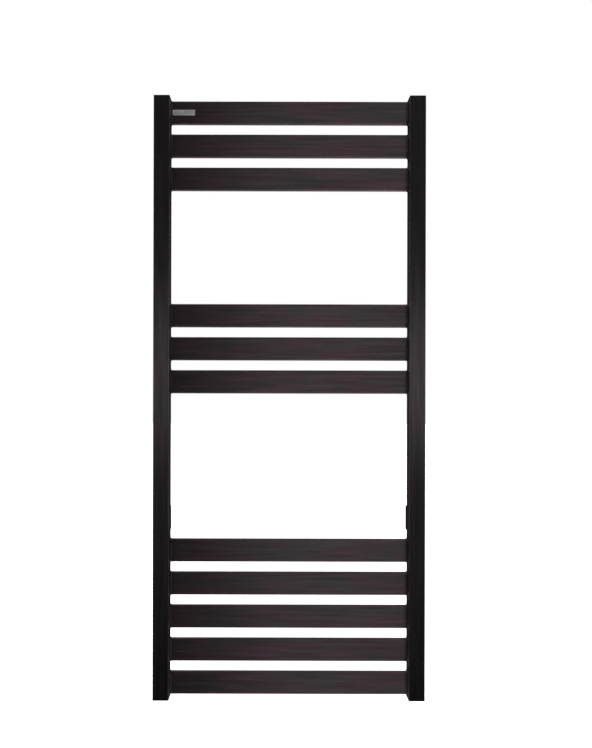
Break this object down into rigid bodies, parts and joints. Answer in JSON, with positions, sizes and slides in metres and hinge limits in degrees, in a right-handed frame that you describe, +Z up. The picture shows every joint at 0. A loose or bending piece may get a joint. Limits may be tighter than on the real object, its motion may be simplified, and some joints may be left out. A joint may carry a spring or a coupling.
{
  "type": "towel warmer rack",
  "caption": "Wall-hung ladder towel radiator: flat horizontal rails in spaced groups between two rectangular posts, on telescopic wall brackets.",
  "frame": {"origin": "centre of the wall screw holes, on the wall plane", "axes": "+X to the right of someone facing the rack, +Y into the wall, +Z up"},
  "size_m": [0.54, 0.085, 1.2],
  "materials": {
    "frame_finish": "satin brushed brown-black coating",
    "bracket_finish": "satin black powder coat",
    "stem_steel": "turned, blackened",
    "port_steel": "machined",
    "plug_plating": "black nickel plating",
    "screw_brass": "turned",
    "lock_screw_steel": "black oxide",
    "spout_plastic": "moulded",
    "seal_rubber": "matt",
    "badge_metal": "satin, blank"
  },
  "bodies": {
    "wall_brackets": {"wall_plate_lower_left": "bracket_finish", "wall_plate_lower_right": "bracket_finish", "wall_plate_upper_left": "bracket_finish", "wall_plate_upper_right": "bracket_finish", "bracket_tube_lower_left": "bracket_finish", "bracket_tube_lower_right": "bracket_finish", "bracket_tube_upper_left": "bracket_finish", "bracket_tube_upper_right": "bracket_finish"},
    "rack": {"post_left": "frame_finish", "top_cap_left": "frame_finish", "valve_port_left": "port_steel", "post_right": "frame_finish", "top_cap_right": "frame_finish", "valve_port_right": "port_steel", "rail_01": "frame_finish", "rail_02": "frame_finish", "rail_03": "frame_finish", "rail_04": "frame_finish", "rail_05": "frame_finish", "rail_06": "frame_finish", "rail_07": "frame_finish", "rail_08": "frame_finish", "rail_09": "frame_finish", "rail_10": "frame_finish", "rail_11": "frame_finish", "vent_socket": "port_steel", "plug_socket": "port_steel", "vent_gasket": "seal_rubber", "plug_gasket": "seal_rubber", "vent_body": "plug_plating", "blanking_plug": "plug_plating", "bracket_stem_lower_left": "stem_steel", "bracket_boss_lower_left": "frame_finish", "bracket_stem_lower_right": "stem_steel", "bracket_boss_lower_right": "frame_finish", "bracket_stem_upper_left": "stem_steel", "bracket_boss_upper_left": "frame_finish", "bracket_stem_upper_right": "stem_steel", "bracket_boss_upper_right": "frame_finish", "badge_plate": "badge_metal"},
    "bleed_screw": {"bleed_screw": "screw_brass", "bleed_seal": "seal_rubber"},
    "vent_spout": {"vent_spout": "spout_plastic"},
    "lock_screw_lower_left": {"lock_screw_lower_left": "lock_screw_steel"},
    "lock_screw_lower_right": {"lock_screw_lower_right": "lock_screw_steel"},
    "lock_screw_upper_left": {"lock_screw_upper_left": "lock_screw_steel"},
    "lock_screw_upper_right": {"lock_screw_upper_right": "lock_screw_steel"}
  },
  "joints": [
    {"name": "wall_gap_slide", "type": "slide", "parent": "wall_brackets", "child": "rack", "axis": [0, 1, 0], "range_m": [-0.01, 0.007]},
    {"name": "lock_screw_lower_left_turn", "type": "hinge", "parent": "wall_brackets", "child": "lock_screw_lower_left", "pos_m": [-0.254, -0.026, -0.349], "axis": [-1, 0, 0], "range_deg": [0, 450]},
    {"name": "lock_screw_lower_right_turn", "type": "hinge", "parent": "wall_brackets", "child": "lock_screw_lower_right", "pos_m": [0.254, -0.026, -0.349], "axis": [1, 0, 0], "range_deg": [0, 450]},
    {"name": "lock_screw_upper_left_turn", "type": "hinge", "parent": "wall_brackets", "child": "lock_screw_upper_left", "pos_m": [-0.254, -0.026, 0.349], "axis": [-1, 0, 0], "range_deg": [0, 450]},
    {"name": "lock_screw_upper_right_turn", "type": "hinge", "parent": "wall_brackets", "child": "lock_screw_upper_right", "pos_m": [0.254, -0.026, 0.349], "axis": [1, 0, 0], "range_deg": [0, 450]},
    {"name": "bleed_screw_turn", "type": "hinge", "parent": "rack", "child": "bleed_screw", "pos_m": [0.254, -0.03, 0.467], "axis": [0, 1, 0], "range_deg": [0, 300]},
    {"name": "spout_swivel", "type": "hinge", "parent": "rack", "child": "vent_spout", "pos_m": [0.254, -0.0363, 0.467], "axis": [0, 1, 0], "continuous": true}
  ]
}
